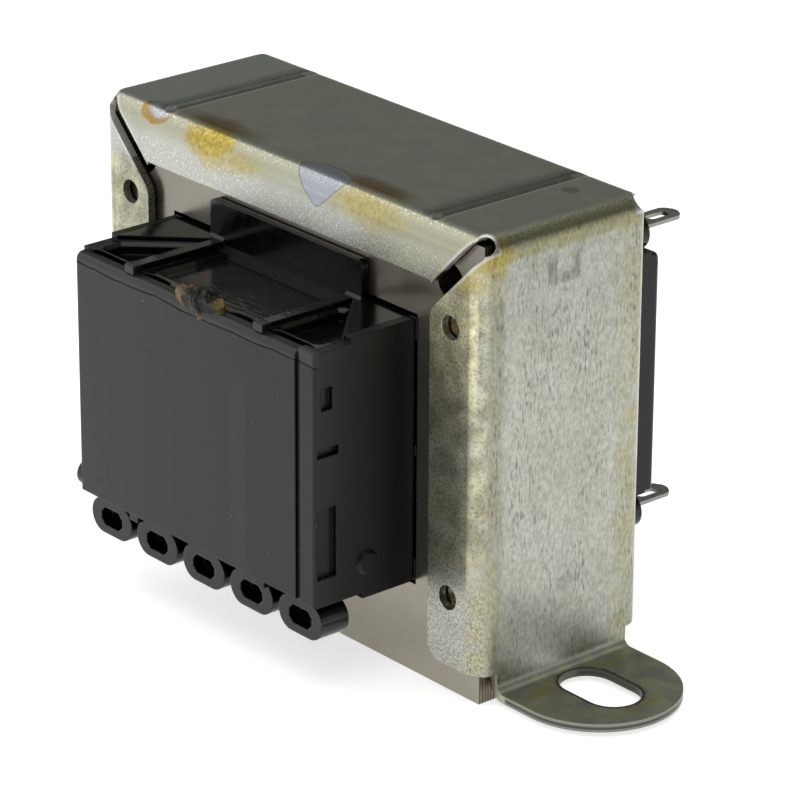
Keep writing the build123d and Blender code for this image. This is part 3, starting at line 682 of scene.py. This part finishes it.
def bobbin_plastic():
    """Finish of the bobbin: glossy black, with a wrinkled film on the tray and a dull slope behind it."""
    s = Shader("bobbin_plastic")
    mottle = s.noise(0.9, 4.0)
    film = s.spot((4.0, COVER_FRONT + 5.9, COVER_TOP), (7.0, 6.0, 2.0))
    black = s.mix(mottle, grey(0.002), grey(0.005))
    s.set(Base_Color=s.coat(black, film, rgb(0.014, 0.013, 0.008), 0.5), IOR=1.4)
    tray_slope = s.both(
        s.span(s.y, COVER_FRONT + 10.3, COVER_FRONT + 10.5),
        s.span(s.y, COVER_FRONT + 11.4, COVER_FRONT + 11.6, 1.0, 0.0),
        s.span(s.z, COVER_TOP - 0.5, COVER_TOP - 0.3, 1.0, 0.0),
        s.span(s.z, COVER_TOP - 1.5, COVER_TOP - 1.3),
    )
    s.set(Roughness=s.blend(tray_slope, s.span(mottle, 0.3, 0.7, 0.10, 0.2), 0.85))
    wrinkles = s.size(s.ragged(1.0, 0.9, 3.0, s.stretched(0.5, 1.4, 1.0)))
    relief = s.plus(s.times(mottle, 0.04), s.both(film, wrinkles))
    s.bump(relief, strength=0.35, distance_mm=0.5, edge_mm=0.2)
    return s.material


def tinned_metal():
    """Finish of the solder tags."""
    s = Shader("tinned_metal")
    mottle = s.noise(2.0)
    s.set(Base_Color=s.mix(mottle, rgb(0.20, 0.20, 0.185), rgb(0.36, 0.355, 0.335)), Metallic=1.0)
    s.set(Roughness=s.span(mottle, 0.3, 0.7, 0.25, 0.4))
    s.bump(mottle, strength=0.1, distance_mm=0.05, edge_mm=0.06)
    return s.material


def enamelled_copper():
    """Finish of the windings and leads, with the turns drawn as waves, darker between them as painted
    shade and lighter on them as painted highlights.
    """
    s = Shader("enamelled_copper")
    turns = s.waves("Z", per_mm=1.6)
    # painted shade between the turns and painted highlights on them
    s.set(Base_Color=s.mix(turns, rgb(0.22, 0.07, 0.03), rgb(0.56, 0.24, 0.10)))
    s.set(Metallic=0.8, Roughness=s.span(turns, 0.0, 1.0, 0.38, 0.26))
    s.bump(turns, strength=0.5, distance_mm=0.15)
    return s.material


def insulating_tape():
    """Finish of the tapes round the windings."""
    s = Shader("insulating_tape")
    weave = s.noise(1.5, 4.0, s.stretched(1.0, 1.0, 4.0))
    s.set(Base_Color=s.mix(weave, rgb(0.035, 0.025, 0.012), rgb(0.06, 0.045, 0.02)))
    s.set(Roughness=s.span(weave, 0.3, 0.7, 0.35, 0.45))
    s.bump(weave, strength=0.1, distance_mm=0.05)
    return s.material


def dried_resin():
    """Straw-coloured resin, with a dark middle and a yellow place at the right of the lump."""
    s = Shader("dried_resin")
    lumps = s.noise(1.3)
    resin = s.mix(s.span(lumps, 0.35, 0.65), rgb(0.07, 0.035, 0.01), rgb(0.24, 0.165, 0.065))
    middle = s.patch(s.x, s.z, (1.5, COVER_TOP - 0.3), (2.7, 1.3), edge=0.25, wobble=0.4, grain=1.1)
    resin = s.coat(resin, middle, rgb(0.008, 0.006, 0.004))
    right = s.patch(s.x, s.z, (3.5, COVER_TOP), (0.6, 0.5), edge=0.4, wobble=0.4, grain=1.3)
    s.set(Base_Color=s.coat(resin, right, rgb(0.13, 0.095, 0.015)))
    s.set(Roughness=s.span(lumps, 0.3, 0.7, 0.08, 0.25), IOR=1.28)
    s.bump(s.noise(2.8, 4.0), strength=0.8, distance_mm=0.25)
    return s.material


def paint(names, material):
    """Give a material to CAD nodes."""
    for name in names:
        mesh = nodes[name].data
        mesh.materials.clear()
        mesh.materials.append(material)


def numbered(kind):
    """Names of the tags or leads of both windings."""
    return [f"{side}_{kind}_{number}" for side in ("primary", "secondary") for number in range(1, 5)]


paint(["frame"], zinc_plated_steel())
paint(["e_laminations", "i_laminations"], lamination_steel())
paint(["bobbin"], bobbin_plastic())
paint(["front_cover", "rear_cover"], cover_plastic())
paint(numbered("tag"), tinned_metal())
copper = enamelled_copper()
paint(["primary_winding", "secondary_winding_inner", "secondary_winding_outer"], copper)
paint(numbered("lead"), copper)
paint(["primary_tape", "secondary_tape", "secondary_interlayer_tape"], insulating_tape())


def add_piece(name, points, faces, material):
    """New mesh piece, points in millimetres, that stays with the part."""
    mesh = bpy.data.meshes.new(name)
    mesh.from_pydata([Vector(p) * MM for p in points], [], faces)
    mesh.materials.append(material)
    for face in mesh.polygons:
        face.use_smooth = True
    piece = bpy.data.objects.new(name, mesh)
    bpy.context.collection.objects.link(piece)
    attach(piece, "root")


def faces_between(rings, around):
    """Faces that join each ring of points to the next."""
    faces = []
    for i in range(rings):
        for j in range(around):
            k = (j + 1) % around
            faces.append((i * around + j, i * around + k, (i + 1) * around + k, (i + 1) * around + j))
    return faces


def lump_of_resin(material):
    """Lumpy bead of resin that stands on the cover's top edge and has run down over it."""
    rings, around = 56, 44
    middle, half = 0.6, 3.6
    edge_y, edge_z = COVER_FRONT + 0.65, COVER_TOP - 0.7
    forward, backward, upward, downward = 0.85, 1.5, 1.5, 2.2
    points = []
    for i in range(rings + 1):
        share = 2 * i / rings - 1
        swell = max(0.0, 1 - abs(share) ** 2.6) ** 0.5
        for j in range(around):
            angle = 2 * math.pi * j / around
            ahead, above = -math.cos(angle), math.sin(angle)
            lump = 0.78 + 0.4 * noise.noise(Vector((share * 3.1, ahead * 1.6, above * 1.6)))
            lump += 0.2 * noise.noise(Vector((share * 8.0, ahead * 4.0, above * 4.0 + 3.0)))
            depth = (forward if ahead > 0 else backward) * min(lump, 1.0) * swell
            height = (upward if above > 0 else downward) * lump * swell
            points.append((middle + half * share, edge_y - ahead * depth, edge_z + above * height))
    faces = faces_between(rings, around)
    faces.append(tuple(range(around - 1, -1, -1)))
    faces.append(tuple(rings * around + j for j in range(around)))
    add_piece("dried_resin", points, faces, material)


def bead_of_varnish(name, centre, radius, material):
    """Lumpy flat bead that has dried in a lip hole, against the core."""
    rings, around = 14, 28
    flatness = 0.5
    points = []
    for i in range(rings + 1):
        polar = math.pi * i / rings
        for j in range(around):
            angle = 2 * math.pi * j / around
            side, up = math.sin(polar) * math.cos(angle), math.sin(polar) * math.sin(angle)
            ahead = -math.cos(polar)
            lump = 0.8 + 0.5 * noise.noise(Vector((side * 1.7, ahead * 1.7, up * 1.7 + centre[2])))
            reach = Vector((side, flatness * ahead, up)) * radius * lump
            points.append(Vector(centre) + reach)
    add_piece(name, points, faces_between(rings, around), material)


resin = dried_resin()
lump_of_resin(resin)
bead_of_varnish("varnish_bead_upper", (LIP_HOLE_X + 0.1, BEAD_Y, LIP_HOLE_HIGH + 0.1), 0.85, resin)
bead_of_varnish("varnish_bead_lower", (LIP_HOLE_X + 0.3, BEAD_Y, LIP_HOLE_LOW - 0.4), 0.7, resin)


def camera_axes():
    """Directions to the right of the camera, up from it, and back from what it sees."""
    azimuth, elevation, roll = (math.radians(a) for a in (CAMERA_AZIMUTH, CAMERA_ELEVATION, CAMERA_ROLL))
    back = Vector((
        math.sin(azimuth) * math.cos(elevation),
        -math.cos(azimuth) * math.cos(elevation),
        math.sin(elevation),
    ))
    level = Vector((math.cos(azimuth), math.sin(azimuth), 0.0))
    upward = back.cross(level)
    right = math.cos(roll) * level + math.sin(roll) * upward
    up = math.cos(roll) * upward - math.sin(roll) * level
    return right, up, back


def add_camera():
    """Camera at the photograph's viewing angle."""
    right, up, back = camera_axes()
    place = Vector(CAMERA_TARGET) + back * CAMERA_DISTANCE
    place -= right * CAMERA_SLIDE[0] + up * CAMERA_SLIDE[1]
    data = bpy.data.cameras.new("camera")
    data.sensor_width = SENSOR_MM
    data.lens = FOCAL_PX / IMAGE_WIDTH_PX * SENSOR_MM
    data.clip_start = CAMERA_NEAR * MM
    camera = bpy.data.objects.new("camera", data)
    turn = Matrix((right, up, back)).transposed().to_4x4()
    camera.matrix_world = Matrix.Translation(place * MM) @ turn
    bpy.context.collection.objects.link(camera)
    bpy.context.scene.camera = camera


def floor_white():
    """Pale matt white, which is lifted to full white for the camera and in reflections."""
    s = Shader("floor")
    rays = s.node("ShaderNodeLightPath").outputs
    seen = s.either(rays["Is Camera Ray"], rays["Is Glossy Ray"], rays["Is Transmission Ray"])
    s.set(Base_Color=grey(FLOOR_GREY), Roughness=0.9, Specular_IOR_Level=0.0)
    s.set(Emission_Color=grey(1.0), Emission_Strength=s.times(seen, FLOOR_LIFT))
    return s.material


def add_floor():
    """Flat floor under the part, which takes light and shadow."""
    half = FLOOR_HALF
    corners = [(-half, -half, 0), (half, -half, 0), (half, half, 0), (-half, half, 0)]
    mesh = bpy.data.meshes.new("floor")
    mesh.from_pydata(corners, [], [(0, 1, 2, 3)])
    mesh.materials.append(floor_white())
    floor = bpy.data.objects.new("floor", mesh)
    bpy.context.collection.objects.link(floor)
    floor.location.z = cad_box[0][2]


def area_lamp(name, place, target, size, power):
    """Round soft lamp that points at a target: metres and watts."""
    data = bpy.data.lights.new(name, "AREA")
    data.shape = "DISK"
    data.size = size
    data.energy = power
    lamp = bpy.data.objects.new(name, data)
    lamp.location = place
    lamp.rotation_euler = (Vector(target) - Vector(place)).to_track_quat("-Z", "Y").to_euler()
    bpy.context.collection.objects.link(lamp)


def light_studio():
    """Dim grey surroundings and three soft lamps."""
    world = bpy.data.worlds.new("studio")
    bpy.context.scene.world = world
    world.use_nodes = True
    back = world.node_tree.nodes["Background"]
    back.inputs["Color"].default_value = rgb(0.2, 0.205, 0.195)
    back.inputs["Strength"].default_value = 1.0
    area_lamp("overhead", (0.0, -0.1, 1.3), (0.0, 0.0, 0.02), size=1.9, power=12.0)
    area_lamp("left", (-0.86, -0.5, 0.44), PART_MIDDLE, size=1.2, power=4.2)
    area_lamp("behind", (0.85, 0.70, 0.12), PART_MIDDLE, size=0.5, power=0.45)


add_camera()
add_floor()
light_studio()
bpy.context.scene.view_settings.view_transform = "Standard"
